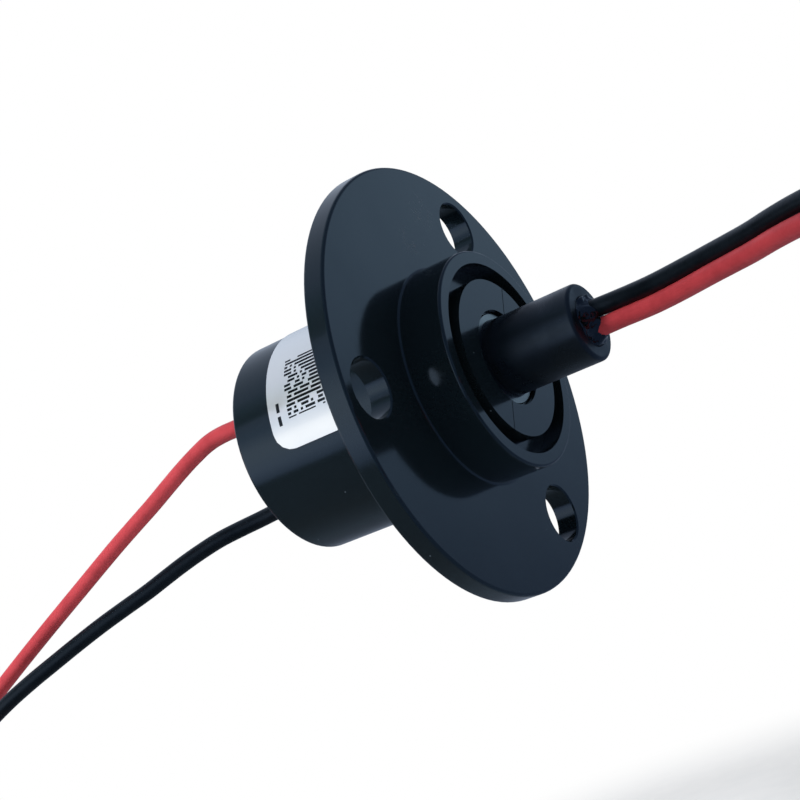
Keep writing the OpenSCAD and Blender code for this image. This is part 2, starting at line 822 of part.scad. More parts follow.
module rotor_lead_red() {
  color("firebrick") lead_to_coil(rotor_red_exit, [1, 0, 0], rotor_red_route, rotor_coils, -1);
}

module rotor_lead_black() {
  color("black") lead_to_coil(rotor_black_exit, [1, 0, 0], rotor_black_route, rotor_coils, 1);
}

module rotor_coil_red() {
  color("firebrick") lead_coil(rotor_coils, -1);
}

module rotor_coil_black() {
  color("black") lead_coil(rotor_coils, 1);
}

module rotor_tip_red() {
  color("silver") coil_end(rotor_coils, -1, tail_l, tip_l, strand_r);
}

module rotor_tip_black() {
  color("silver") coil_end(rotor_coils, 1, tail_l, tip_l, strand_r);
}

module rotor_coil_tie() {
  color("white") coil_tie(rotor_coils);
}

// ---- What is drawn ----

housing();
rear_cap();
rear_potting();
label();
brush_holder_left();
brush_holder_right();
brush_board_red();
brush_board_black();
brushes_red();
brushes_black();
stator_inner_lead_red();
stator_inner_lead_black();
front_bearing_outer_race();
front_bearing_inner_race();
front_bearing_shields();
front_bearing_balls();
front_bearing_cage();
rear_bearing_outer_race();
rear_bearing_inner_race();
rear_bearing_balls();
rear_bearing_cage();
rotor_shaft();
front_spacer();
middle_spacer();
rear_spacer();
ring_collar();
contact_ring_red();
contact_ring_black();
rotor_inner_lead_red();
rotor_inner_lead_black();
tube_epoxy();
stator_lead_red();
stator_lead_black();
stator_coil_red();
stator_coil_black();
stator_tip_red();
stator_tip_black();
stator_coil_tie();
rotor_lead_red();
rotor_lead_black();
rotor_coil_red();
rotor_coil_black();
rotor_tip_red();
rotor_tip_black();
rotor_coil_tie();
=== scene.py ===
# %% [markdown]
# # A capsule slip ring, dressed for a studio picture
# A slip ring carries current between a part that stands still and a part that turns. This one has a black
# moulded housing with a flange, a hollow rotor tube, and a red and a black lead at each end. The CAD model
# comes in as a fixed frame. Most of its solids already have the right shape, so they keep it and get a
# finish. What is soft, poured or printed is made here: the leads, the epoxy and the print on the label.

# %% Load the frame
import json
import math

import bmesh
import bpy
from mathutils import Matrix, Vector, noise

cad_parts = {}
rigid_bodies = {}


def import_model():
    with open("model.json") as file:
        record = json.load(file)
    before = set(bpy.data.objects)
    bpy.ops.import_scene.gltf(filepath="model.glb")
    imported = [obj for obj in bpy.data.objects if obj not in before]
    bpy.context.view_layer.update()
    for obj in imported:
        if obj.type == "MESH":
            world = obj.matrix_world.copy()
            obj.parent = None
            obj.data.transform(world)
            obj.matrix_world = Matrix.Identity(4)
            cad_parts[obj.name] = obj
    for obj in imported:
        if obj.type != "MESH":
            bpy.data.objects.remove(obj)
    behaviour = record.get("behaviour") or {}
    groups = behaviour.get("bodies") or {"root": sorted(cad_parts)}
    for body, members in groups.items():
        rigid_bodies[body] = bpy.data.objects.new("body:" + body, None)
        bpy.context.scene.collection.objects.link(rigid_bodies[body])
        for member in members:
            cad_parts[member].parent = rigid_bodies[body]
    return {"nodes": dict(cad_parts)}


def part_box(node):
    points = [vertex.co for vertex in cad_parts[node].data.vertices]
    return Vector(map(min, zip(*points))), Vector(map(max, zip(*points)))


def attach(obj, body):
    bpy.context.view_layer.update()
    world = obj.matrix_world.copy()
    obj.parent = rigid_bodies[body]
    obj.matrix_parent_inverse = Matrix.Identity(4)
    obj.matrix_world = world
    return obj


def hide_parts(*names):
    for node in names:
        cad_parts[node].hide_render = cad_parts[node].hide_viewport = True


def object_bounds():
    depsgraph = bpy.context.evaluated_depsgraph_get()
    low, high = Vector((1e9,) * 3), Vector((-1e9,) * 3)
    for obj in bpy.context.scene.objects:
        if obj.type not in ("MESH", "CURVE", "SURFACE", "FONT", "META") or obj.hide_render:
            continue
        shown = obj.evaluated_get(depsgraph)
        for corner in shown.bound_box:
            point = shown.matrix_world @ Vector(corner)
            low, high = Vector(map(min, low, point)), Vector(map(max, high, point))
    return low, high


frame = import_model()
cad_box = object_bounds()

nodes = frame["nodes"]
MM = 0.001
print(len(nodes), "CAD pieces")
print("CAD box in mm:", [[round(v / MM, 1) for v in corner] for corner in cad_box])

# %% [markdown]
# ## Camera
# The camera stands close in front of the flange, a little below the axis, and looks up and across it. Its
# three axes are given as unit vectors, because a rolled view is easier to state that way than as angles. A
# small lens shift frames the object without tilting the camera.

# %% Camera
camera_data = bpy.data.cameras.new("camera")
camera_data.lens = 71.74
camera_data.sensor_width = 36
camera_data.shift_x = 0.008
camera_data.shift_y = -0.119
camera_data.clip_start = 0.01
camera = bpy.data.objects.new("camera", camera_data)
right = Vector((0.7925, 0.5094, -0.3354))
up = Vector((0.3746, 0.0275, 0.9268))
back = Vector((0.4813, -0.8601, -0.169))
place = Matrix((right, up, back)).transposed().to_4x4()
place.translation = Vector((74.18, -137.62, -17.62)) * MM
camera.matrix_world = place
bpy.context.scene.collection.objects.link(camera)
bpy.context.scene.camera = camera
print("camera", camera_data.lens, "mm")

# %% [markdown]
# ## Helpers for new pieces
# Every new piece is a mesh or a curve in the frame's own coordinates, in metres, and its object stays at
# the origin. So a piece needs no placing: its points are simply where they belong.

# %% Helpers for pieces
def show(name, data, body):
    """Links a piece and lets it ride on a body."""
    piece = bpy.data.objects.new(name, data)
    bpy.context.scene.collection.objects.link(piece)
    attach(piece, body)
    return piece


def mesh_from(name, bm):
    """Turns a bmesh into mesh data with faces that point outwards."""
    bmesh.ops.remove_doubles(bm, verts=bm.verts, dist=0.0005 * MM)
    bmesh.ops.recalc_face_normals(bm, faces=bm.faces)
    mesh = bpy.data.meshes.new(name)
    bm.to_mesh(mesh)
    bm.free()
    mesh.shade_smooth()
    return mesh


bodies = sorted({node.parent.name for node in nodes.values() if node.parent})
print("bodies that a piece can ride on:", bodies)

# %% [markdown]
# ## Leads
# Each end has two leads of stranded copper in soft insulation. They leave the object straight, sag, and
# their spare length is wound into two small coils that a flat band holds together, out of the picture. A
# bevelled curve is the natural way to make a wire: one line says where it runs, and one number how thick it
# is. The points are the same ones that the CAD model's plain tubes follow.

# %% Lead routes
LEAD_R = 0.9
COIL_R = 9.2
TURNS = 3
TURN_PITCH = 1.9
COIL_GAP = 0.2
TAIL = 10
TIP = 6

STATOR_COILS = {"centre": Vector((-86, -2.8, -38)), "turn": 0, "join": 165, "winding": 1}
ROTOR_COILS = {"centre": Vector((52, -20, -20)), "turn": -37, "join": 15, "winding": -1}

ROUTES = {
    "stator_red": [
        (-22, -6, 3.6), (-26, -5.4, 3.5), (-31.5, -4.2, 2.2), (-37.5, -3.2, 0.2),
        (-44.5, -2.5, -2.2), (-52, -1.8, -5), (-60.5, -1.4, -8.4), (-69, -1.5, -12.2),
        (-77, -1.6, -16), (-84.5, -1.7, -20.8), (-90.5, -1.8, -26.5), (-93.6, -1.8, -31)],
    "stator_black": [
        (-22, 6, -3.6), (-26, 6.2, -4.4), (-31, 5.6, -4.9), (-36, 4.1, -5.4),
        (-41, 2.8, -6.5), (-46, 1.4, -8), (-52, -0.4, -9.6), (-59, -2.4, -11.8),
        (-66.5, -4.2, -14.4), (-75, -4.4, -18), (-83, -4, -22.6), (-90, -3.8, -28.5)],
    "rotor_red": [
        (19.6, -0.4, -0.95), (23.4, -1.9, -1.15), (27, -3.7, -1.2), (31, -6.1, -1.2),
        (36, -9.5, -1.3), (41.7, -13.7, -1.4), (48.2, -18.5, -2.6), (54, -22.9, -6.4),
        (57.6, -25.6, -12)],
    "rotor_black": [
        (20.2, -0.45, 0.8), (23.9, -1.9, 0.6), (27.4, -3.5, 0.55), (31.4, -5.7, 0.5),
        (36.2, -8.8, 0.4), (42.1, -12.9, 0.4), (49, -17.5, -0.6), (55.2, -21.6, -4.2),
        (59, -24.3, -10.4)],
}


def smooth_route(points):
    """The points with one more between each pair, on a Catmull-Rom curve."""
    route = []
    for i in range(len(points) - 1):
        p0, p1, p2, p3 = (points[j] for j in (max(i - 1, 0), i, i + 1, min(i + 2, len(points) - 1)))
        route += [p1, (9 * (p1 + p2) - p0 - p3) / 16]
    return route + [points[-1]]


def coil_point(coils, side, degrees, step):
    """A point on a coil's turns, this many degrees round and steps along from where the lead joins it."""
    angle = math.radians(coils["join"] + coils["winding"] * degrees)
    along_axis = side * (LEAD_R + COIL_GAP / 2 + step)
    local = Vector((COIL_R * math.cos(angle), along_axis, COIL_R * math.sin(angle)))
    return coils["centre"] + Matrix.Rotation(math.radians(coils["turn"]), 3, "Z") @ local


def tail_direction(coils):
    """The way a lead leaves its coil, along the tangent where it joined."""
    angle = math.radians(coils["join"])
    local = coils["winding"] * Vector((-math.sin(angle), 0, math.cos(angle)))
    return Matrix.Rotation(math.radians(coils["turn"]), 3, "Z") @ local


def lead_path(exit_point, name, coils, side):
    """All the points of one lead, in mm, from its exit to the end of its insulation."""
    join = coil_point(coils, side, 0, 0)
    points = smooth_route([exit_point, *map(Vector, ROUTES[name]), join])
    steps = 24 * TURNS
    points += [coil_point(coils, side, 360 * TURNS * i / steps, TURNS * TURN_PITCH * i / steps)
               for i in range(1, steps + 1)]
    return points + [points[-1] + tail_direction(coils) * TAIL * share for share in (0.25, 0.5, 0.75, 1)]


def wire(name, path, radius):
    """A curve through the points, in mm, with a round section and closed ends."""
    curve = bpy.data.curves.new(name, "CURVE")
    curve.dimensions = "3D"
    # The wire's radius is set on the points, because a curve's box grows by the radius of its points
    curve.bevel_depth = 1
    curve.bevel_resolution = 5
    curve.resolution_u = 5
    curve.use_fill_caps = True
    spline = curve.splines.new("BEZIER")
    spline.bezier_points.add(len(path) - 1)
    for point, where in zip(spline.bezier_points, path):
        point.co = where * MM
        point.radius = radius * MM
        point.handle_left_type = point.handle_right_type = "AUTO"
    return curve


print("routes:", {name: len(points) for name, points in ROUTES.items()}, "points before smoothing")

# %% [markdown]
# ## The four leads in place
# A stator lead starts where its inner stretch leaves the rear cap, and a rotor lead where the epoxy ends.
# So the starts are measured on the frame, and only the run through the air is a list of given points.

# %% The four leads
def exit_of(node):
    """Where a stator lead leaves the rear cap: the centre of its inner stretch's rear end."""
    low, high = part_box(node)
    return Vector((low.x, (low.y + high.y) / 2, (low.z + high.z) / 2)) / MM


epoxy_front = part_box("tube_epoxy")[1].x / MM
ROTOR_LEAD_Z = 0.93
LEADS = {
    "stator_red": (exit_of("stator_inner_lead_red"), STATOR_COILS, 1),
    "stator_black": (exit_of("stator_inner_lead_black"), STATOR_COILS, -1),
    "rotor_red": (Vector((epoxy_front, 0, -ROTOR_LEAD_Z)), ROTOR_COILS, -1),
    "rotor_black": (Vector((epoxy_front, 0, ROTOR_LEAD_Z)), ROTOR_COILS, 1),
}
leads = {}
paths = {}
for name, (exit_point, coils, side) in LEADS.items():
    body, colour = name.split("_")
    paths[name] = lead_path(exit_point, name, coils, side)
    leads[name] = show(f"{name}_wire", wire(name, paths[name], LEAD_R), body)
    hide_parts(f"{body}_lead_{colour}", f"{body}_coil_{colour}")
    length = sum((b - a).length for a, b in zip(paths[name], paths[name][1:]))
    print(name, "lead is", round(length), "mm long")

# %% [markdown]
# ## Stripped ends
# The far end of each lead is stripped, and its strands are twisted and tinned. Six thin wires wound round a
# seventh, all in one curve object, show that twist with very little work.

# %% Tinned strands
STRAND_R = 0.165
TWIST_PER_MM = 50


def strands(name, start, direction):
    """Six strands round a seventh, from start along direction, in mm."""
    across = direction.cross(Vector((0, 1, 0))).normalized()
    above = direction.cross(across)
    curve = wire(name, [start, start + direction * TIP], STRAND_R)
    curve.bevel_resolution = 3
    steps = 16
    for k in range(6):
        spline = curve.splines.new("POLY")
        spline.points.add(steps)
        for i in range(steps + 1):
            along = TIP * i / steps
            angle = math.radians(60 * k + TWIST_PER_MM * along)
            outwards = math.cos(angle) * across + math.sin(angle) * above
            where = start + direction * along + 2 * STRAND_R * outwards
            spline.points[i].co = (*(where * MM), 1)
            spline.points[i].radius = STRAND_R * MM
    return curve


for name, (exit_point, coils, side) in LEADS.items():
    body, colour = name.split("_")
    data = strands(f"{name}_strands", paths[name][-1], tail_direction(coils))
    show(f"{name}_strands", data, body)
    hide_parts(f"{body}_tip_{colour}")

# %% [markdown]
# ## Leads as cords
# The leads are limp, and one end of each is free. This cell only counts them and prints their thickness.

# %% Count the leads
for name, lead in leads.items():
    body, colour = name.split("_")
print(len(leads), "cords,", 2 * LEAD_R, "mm thick")

# %% [markdown]
# ## Epoxy in the tube's mouth
# The rotor leads are sealed into the tube with a drop of potting epoxy. It isn't wiped off, so it stands as
# an uneven shiny mound around the leads. A spun profile gives the closed body of the drop, and noise moves
# its front. Sculpting would do it as well, but noise is quicker and gives the same shape each time.

# %% Epoxy drop
tube_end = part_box("rotor_shaft")[1].x / MM
plug_low, plug_high = (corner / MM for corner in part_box("tube_epoxy"))
plug_r = (plug_high.y - plug_low.y) / 2
EPOXY_SPREAD = 0.3
EPOXY_RISE = 0.55
LUMP_RISE = 0.5
CREASE_RISE = 0.18
COLLAR_RISE = 0.7
COLLAR_REACH = 0.45
EPOXY_RINGS = 28


def epoxy_drop():
    """A plug with a lumpy mound that climbs a little up the leads and over the tube's end face, in metres."""
    edge_r = plug_r + EPOXY_SPREAD
    profile = [(plug_low.x, 0), (plug_low.x, plug_r), (tube_end - 0.3, plug_r), (tube_end + 0.02, edge_r)]
    for i in range(1, EPOXY_RINGS + 1):
        share = i / EPOXY_RINGS
        rise = (1 - math.cos(math.pi * min(1.5 * share, 1))) / 2
        profile.append((tube_end + 0.1 + EPOXY_RISE * rise, edge_r * (1 - share)))
    bm = bmesh.new()
    points = [bm.verts.new((x, r, 0)) for x, r in profile]
    edges = [bm.edges.new(pair) for pair in zip(points, points[1:])]
    bmesh.ops.spin(bm, geom=points + edges, axis=(1, 0, 0), cent=(0, 0, 0), steps=96, angle=math.tau,
                   use_merge=True)
    bmesh.ops.remove_doubles(bm, verts=bm.verts, dist=0.001)
    for vert in bm.verts:
        head = min(max((vert.co.x - tube_end - 0.02) / 0.1, 0), 1)
        lump = noise.noise(vert.co * 0.8 + Vector((3, 1, 7)))
        crease = abs(noise.noise(vert.co * 1.7))
        to_lead = math.hypot(vert.co.y, abs(vert.co.z) - ROTOR_LEAD_Z)
        collar = math.exp(-max(to_lead - LEAD_R, 0) / COLLAR_REACH)
        spread = 1 + head * 0.2 * noise.noise(Vector((5, vert.co.y, vert.co.z)) * 0.9)
        vert.co.x += head * (LUMP_RISE * lump - CREASE_RISE * crease + COLLAR_RISE * collar)
        vert.co.y *= spread
        vert.co.z *= spread
    bmesh.ops.scale(bm, vec=(MM, MM, MM), verts=bm.verts)
    return mesh_from("epoxy", bm)


epoxy = show("epoxy_drop", epoxy_drop(), "rotor")
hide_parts("tube_epoxy")
print("epoxy drop:", len(epoxy.data.polygons), "faces")

# %% [markdown]
# ## Materials
# Each material is a small node tree. Its colours are sRGB hex values, as a colour picker gives them, and
# one function turns them into the linear values that the renderer works with. Another adds a node, with its
# settings, and links what is passed to its inputs.

# %% Helpers for materials
def linear(colour):
    """A hex colour as linear RGBA."""
    channels = [int(colour[i:i + 2], 16) / 255 for i in (1, 3, 5)]
    return (*(c / 12.92 if c <= 0.04045 else ((c + 0.055) / 1.055) ** 2.4 for c in channels), 1)


def add(tree, kind, inputs=None, **settings):
    """Adds a shader node. An input is given a value, or is linked when it is another node's output."""
    new = tree.nodes.new("ShaderNode" + kind)
    for key, value in settings.items():
        setattr(new, key, value)
    for key, value in (inputs or {}).items():
        if isinstance(value, bpy.types.NodeSocket):
            tree.links.new(value, new.inputs[key])
        else:
            new.inputs[key].default_value = value
    return new


def material(name, **constants):
    """A new material with its shader's constants set. Returns it with its tree and its object coordinates."""
    made = bpy.data.materials.new(name)
    made.use_nodes = True
    shader = made.node_tree.nodes["Principled BSDF"]
    for key, value in constants.items():
        shader.inputs[key.replace("_", " ")].default_value = value
    place = add(made.node_tree, "TexCoord").outputs["Object"]
    return made, made.node_tree, shader, place


def between(tree, value, low, high, start=0.0, end=1.0):
    """Maps a value from low..high to start..end, smoothly and without going past either end."""
    inputs = {"Value": value, "From Min": low, "From Max": high, "To Min": start, "To Max": end}
    return add(tree, "MapRange", inputs, interpolation_type="SMOOTHSTEP").outputs["Result"]


def finish(material_made, *names):
    """Gives CAD nodes or new pieces their material."""
    for name in names:
        piece = nodes[name] if name in nodes else bpy.data.objects[name]
        if piece.material_slots:
            for place in piece.material_slots:
                place.material = material_made
        else:
            piece.data.materials.append(material_made)


def per_mm(size):
    """The scale of a texture whose features are this many millimetres apart."""
    return 1 / (size * MM)


print("middle grey is", round(linear("#808080")[0], 3), "in linear light")

# %% [markdown]
# ## Moulded black plastic
# The housing is glass-filled nylon or ABS, injection-moulded in a polished steel mould and almost black.
# Its own colour hardly shows: the eye sees the studio in its gloss. So the colour stays very dark and
# slightly blue, and the work goes into the surface: the long soft waves that shrinkage leaves, the fine
# turning marks of the mould, a little dust, and hair scratches that differ from place to place.

# %% Black plastic, polished
COOL = (0.5, 0.7, 1.0, 1)
# A wave texture's rings are this far apart at scale 1
WAVE_STEP = math.tau / 20
# The spacing of the mould marks in mm. Real ones are finer, but wouldn't show
MARK_STEP = 5.655


def black_plastic(name, colour, roughness, wave, marks, scratches=()):
    """Moulded plastic: long waves and concentric mould marks in the gloss, dust and a few scratches."""
    made, tree, shader, place = material(name, IOR=1.5, Specular_Tint=COOL)
    soft = add(tree, "TexNoise", {"Vector": place, "Scale": per_mm(9), "Detail": 1.0, "Roughness": 0.4})
    grain = add(tree, "TexNoise", {"Vector": place, "Scale": per_mm(0.35), "Detail": 3.0, "Roughness": 0.6})
    ring_inputs = {"Vector": place, "Scale": per_mm(MARK_STEP) * WAVE_STEP, "Distortion": 0.0, "Detail": 0.0}
    rings = add(tree, "TexWave", ring_inputs, wave_type="RINGS", rings_direction="X", wave_profile="SIN")
    dust = add(tree, "TexVoronoi", {"Vector": place, "Scale": per_mm(2.6), "Randomness": 1.0}, feature="F1")
    speck = between(tree, dust.outputs["Distance"], 0.02, 0.035, 1.0, 0.0)
    hair = add(tree, "TexNoise", {"Vector": place, "Scale": per_mm(1.6), "Detail": 2.0, "Distortion": 1.2})
    thin = add(tree, "Math", {0: hair.outputs["Fac"], 1: 0.5, 2: 0.014}, operation="COMPARE")
    where = 0.0
    for centre, radius in scratches:
        away = add(tree, "VectorMath", {0: place, 1: Vector(centre) * MM}, operation="DISTANCE")
        near = between(tree, away.outputs["Value"], radius * MM * 0.4, radius * MM, 1.0, 0.0)
        where = add(tree, "Math", {0: where, 1: near}, operation="ADD").outputs["Value"]
    scratch = add(tree, "Math", {0: thin.outputs["Value"], 1: where}, operation="MULTIPLY").outputs["Value"]
    pale = add(tree, "Math", {0: speck, 1: scratch}, operation="MAXIMUM").outputs["Value"]
    tint = add(tree, "Mix", {"Factor": grain.outputs["Fac"], "A": linear(colour), "B": linear("#141e23")},
               data_type="RGBA")
    wear = add(tree, "Math", {0: pale, 1: 0.6}, operation="MULTIPLY").outputs["Value"]
    worn = add(tree, "Mix", {"Factor": wear, "A": tint.outputs["Result"], "B": linear("#748390")},
               data_type="RGBA")
    tree.links.new(worn.outputs["Result"], shader.inputs["Base Color"])
    gloss = between(tree, grain.outputs["Fac"], 0.35, 0.65, roughness * 0.9, roughness * 1.15)
    rough = add(tree, "Math", {0: pale, 1: 0.4, 2: gloss}, operation="MULTIPLY_ADD").outputs["Value"]
    tree.links.new(rough, shader.inputs["Roughness"])
    waves = add(tree, "Bump", {"Height": soft.outputs["Fac"], "Strength": 1.0, "Distance": wave * MM})
    mould = add(tree, "Bump", {"Height": rings.outputs["Fac"], "Strength": 1.0, "Distance": marks * MM,
                               "Normal": waves.outputs["Normal"]})
    tree.links.new(mould.outputs["Normal"], shader.inputs["Normal"])
    return made


FLANGE_SCRATCHES = [((2.3, 2.7, 17.5), 2.6), ((2.3, -2.0, 14.1), 2.0)]
housing_plastic = black_plastic("moulded_black_plastic", "#11191e", 0.11, 0.06, 0.0004, FLANGE_SCRATCHES)
finish(housing_plastic, "housing", "rear_cap")
holder_plastic = black_plastic("moulded_black_holder_plastic", "#11191e", 0.14, 0.04, 0.0004)
finish(holder_plastic, "brush_holder_left", "brush_holder_right")
print("polished plastic on 4 pieces")

# %% [markdown]
# ## Satin black shaft
# The rotor tube is turned from black engineering plastic, not moulded. It has a satin surface with fine
# turning marks round the axis, so its reflections are broader and dimmer than those of the housing.

# %% Satin plastic
def satin_plastic():
    """Turned plastic: fine marks round the axis, and a gloss that clouds from place to place."""
    made, tree, shader, place = material("turned_black_plastic", IOR=1.49, Base_Color=linear("#0b1116"),
                                         Specular_Tint=COOL)
    turning = add(tree, "Mapping", {"Vector": place, "Scale": (1, 0.02, 0.02)})
    marks = add(tree, "TexNoise", {"Vector": turning.outputs["Vector"], "Scale": per_mm(0.22), "Detail": 2.0})
    cloud = add(tree, "TexNoise", {"Vector": place, "Scale": per_mm(2.5), "Detail": 3.0})
    tree.links.new(between(tree, cloud.outputs["Fac"], 0.3, 0.7, 0.24, 0.42), shader.inputs["Roughness"])
    bump = add(tree, "Bump", {"Height": marks.outputs["Fac"], "Strength": 0.5, "Distance": 0.008 * MM})
    tree.links.new(bump.outputs["Normal"], shader.inputs["Normal"])
    return made


finish(satin_plastic(), "rotor_shaft")
print("satin plastic on the shaft")

# %% [markdown]
# ## Epoxy and casting resin
# Potting epoxy cures with a wet gloss. It is black here, so only its highlights show its lumps. The resin
# behind the brush holder is the same kind, but amber and never seen from outside.

# %% Epoxy
def cast_resin(name, colour, roughness):
    """Cured resin: glossy, with pools of slightly different colour."""
    made, tree, shader, place = material(name, IOR=1.56, Roughness=roughness, Specular_Tint=COOL)
    pools = add(tree, "TexNoise", {"Vector": place, "Scale": per_mm(0.8), "Detail": 2.0, "Distortion": 0.6})
    tint = add(tree, "Mix", {"Factor": pools.outputs["Fac"], "A": linear(colour), "B": linear("#0d1114")},
               data_type="RGBA")
    tree.links.new(tint.outputs["Result"], shader.inputs["Base Color"])
    bump = add(tree, "Bump", {"Height": pools.outputs["Fac"], "Strength": 0.5, "Distance": 0.025 * MM})
    tree.links.new(bump.outputs["Normal"], shader.inputs["Normal"])
    return made


finish(cast_resin("black_potting_epoxy", "#080b0e", 0.12), "epoxy_drop")
finish(cast_resin("casting_resin", "#3a2a14", 0.2), "rear_potting")
print("resin on the drop and behind the brush holder")

# %% [markdown]
# ## Wire insulation
# The leads have soft silicone or PVC insulation, extruded with a satin skin. Handling leaves faint cross
# creases and a slightly cloudy colour, which bump and a little colour change imitate.

# %% Insulation
def insulation(name, colour, cloudy, roughness):
    """Soft satin insulation with a cloudy colour and fine creases."""
    made, tree, shader, place = material(name, IOR=1.45, Specular_IOR_Level=0.3, Specular_Tint=COOL)
    cloud = add(tree, "TexNoise", {"Vector": place, "Scale": per_mm(3), "Detail": 4.0, "Roughness": 0.6})
    tint = add(tree, "Mix", {"Factor": between(tree, cloud.outputs["Fac"], 0.35, 0.7), "A": linear(colour),
                             "B": linear(cloudy)}, data_type="RGBA")
    tree.links.new(tint.outputs["Result"], shader.inputs["Base Color"])
    tree.links.new(between(tree, cloud.outputs["Fac"], 0.3, 0.7, roughness, roughness + 0.12),
                   shader.inputs["Roughness"])
    crease = add(tree, "TexNoise", {"Vector": place, "Scale": per_mm(0.7), "Detail": 3.0, "Roughness": 0.7})
    bump = add(tree, "Bump", {"Height": crease.outputs["Fac"], "Strength": 0.5, "Distance": 0.06 * MM})
    tree.links.new(bump.outputs["Normal"], shader.inputs["Normal"])
    return made


red = insulation("red_wire_insulation", "#b94147", "#a9393f", 0.4)
black = insulation("black_wire_insulation", "#0a0f13", "#0f151a", 0.3)
finish(red, "stator_red_wire", "rotor_red_wire", "stator_inner_lead_red", "rotor_inner_lead_red")
finish(black, "stator_black_wire", "rotor_black_wire", "stator_inner_lead_black", "rotor_inner_lead_black")
print("insulation in red and black")

# %% [markdown]
# ## Label
# The label is self-adhesive silver polyester film. It is partly metallic: it keeps an even grey from any
# side, and it also mirrors a bright lamp as a hard-edged white band. Its print is only a block of small
# dashes and two bars, which stand for whatever such a label says. The dashes come from white noise, one
# value for each cell of a grid that runs round the barrel and along it.

# %% Silver film with a printed block
PRINT_X = (-11.8, -5.2)
PRINT_ANGLE = (139, 172)
LINE_STEP = 0.42
DASH_STEP = 0.3
DASH_HEIGHT = 0.27
DASH_SHARE = (0.0, 0.72)
BAR_X = (-13.1, -12.7)
BAR_ANGLES = ((162, 167), (169, 174))

# The label reaches past the barrel's side, so its box gives the barrel's radius
label_low, label_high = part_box("label")
BARREL_R = -label_low.y / MM


def arc_mm(angles):
    """Angles in degrees as lengths round the barrel, in mm."""
    return [math.radians(angle) * BARREL_R for angle in angles]


def label_film():
    """Silver film with a printed block of dashes and two bars."""
    made, tree, shader, place = material("silver_polyester_film", Metallic=0.6)
    split = add(tree, "SeparateXYZ", {"Vector": place})
    x, y, z = (split.outputs[axis] for axis in "XYZ")
    angle = add(tree, "Math", {0: z, 1: y}, operation="ARCTAN2").outputs["Value"]
    round_mm = add(tree, "Math", {0: angle, 1: BARREL_R}, operation="MULTIPLY").outputs["Value"]
    along_mm = add(tree, "Math", {0: x, 1: 1 / MM}, operation="MULTIPLY").outputs["Value"]

    def inside(value, low, high):
        """One where a value lies between two others."""
        middle, half = (low + high) / 2, abs(high - low) / 2
        return add(tree, "Math", {0: value, 1: middle, 2: half}, operation="COMPARE").outputs["Value"]

    def times(a, b):
        return add(tree, "Math", {0: a, 1: b}, operation="MULTIPLY").outputs["Value"]

    line = add(tree, "Math", {0: round_mm, 1: LINE_STEP}, operation="SNAP").outputs["Value"]
    above = add(tree, "Math", {0: round_mm, 1: line}, operation="SUBTRACT").outputs["Value"]
    start = add(tree, "TexWhiteNoise", {"W": line}, noise_dimensions="1D").outputs["Value"]
    moved = add(tree, "Math", {0: along_mm, 1: start}, operation="ADD").outputs["Value"]
    column = add(tree, "Math", {0: moved, 1: DASH_STEP}, operation="SNAP").outputs["Value"]
    cell = add(tree, "CombineXYZ", {"X": line, "Y": column})
    chance = add(tree, "TexWhiteNoise", {"Vector": cell.outputs["Vector"]}, noise_dimensions="2D")
    dash = times(inside(chance.outputs["Value"], *DASH_SHARE), inside(above, 0, DASH_HEIGHT))
    ink = times(times(inside(along_mm, *PRINT_X), inside(round_mm, *arc_mm(PRINT_ANGLE))), dash)
    for angles in BAR_ANGLES:
        bar = times(inside(along_mm, *BAR_X), inside(round_mm, *arc_mm(angles)))
        ink = add(tree, "Math", {0: ink, 1: bar}, operation="MAXIMUM").outputs["Value"]
    tint = add(tree, "Mix", {"Factor": ink, "A": linear("#e2e8ee"), "B": linear("#20262c")},
               data_type="RGBA")
    tree.links.new(tint.outputs["Result"], shader.inputs["Base Color"])
    skin = add(tree, "TexNoise", {"Vector": place, "Scale": per_mm(4), "Detail": 2.0})
    tree.links.new(between(tree, skin.outputs["Fac"], 0.3, 0.7, 0.13, 0.2), shader.inputs["Roughness"])
    bump = add(tree, "Bump", {"Height": skin.outputs["Fac"], "Strength": 0.5, "Distance": 0.03 * MM})
    tree.links.new(bump.outputs["Normal"], shader.inputs["Normal"])
    return made


finish(label_film(), "label")
print("label is", round((label_high.x - label_low.x) / MM, 1), "mm wide")

# %% [markdown]
# ## Metals and small parts
# Ground bearing steel, gold-plated contact rings and brushes, a brass cage, a turned collar and tinned
# strands differ in colour and in how their surface was made, so one recipe with different numbers serves
# them all.

# %% Metals
def metal(name, colour, roughness, grain_mm, depth):
    """Bare metal whose grain runs round the axis, as turning and grinding leave it."""
    made, tree, shader, place = material(name, Metallic=1.0, Base_Color=linear(colour))
    stretched = add(tree, "Mapping", {"Vector": place, "Scale": (1, 0.05, 0.05)})
    grain_inputs = {"Vector": stretched.outputs["Vector"], "Scale": per_mm(grain_mm), "Detail": 3.0}
    grain = add(tree, "TexNoise", grain_inputs)
    tree.links.new(between(tree, grain.outputs["Fac"], 0.3, 0.7, roughness, roughness + 0.1),
                   shader.inputs["Roughness"])
    bump = add(tree, "Bump", {"Height": grain.outputs["Fac"], "Strength": 0.5, "Distance": depth * MM})
    tree.links.new(bump.outputs["Normal"], shader.inputs["Normal"])
    return made


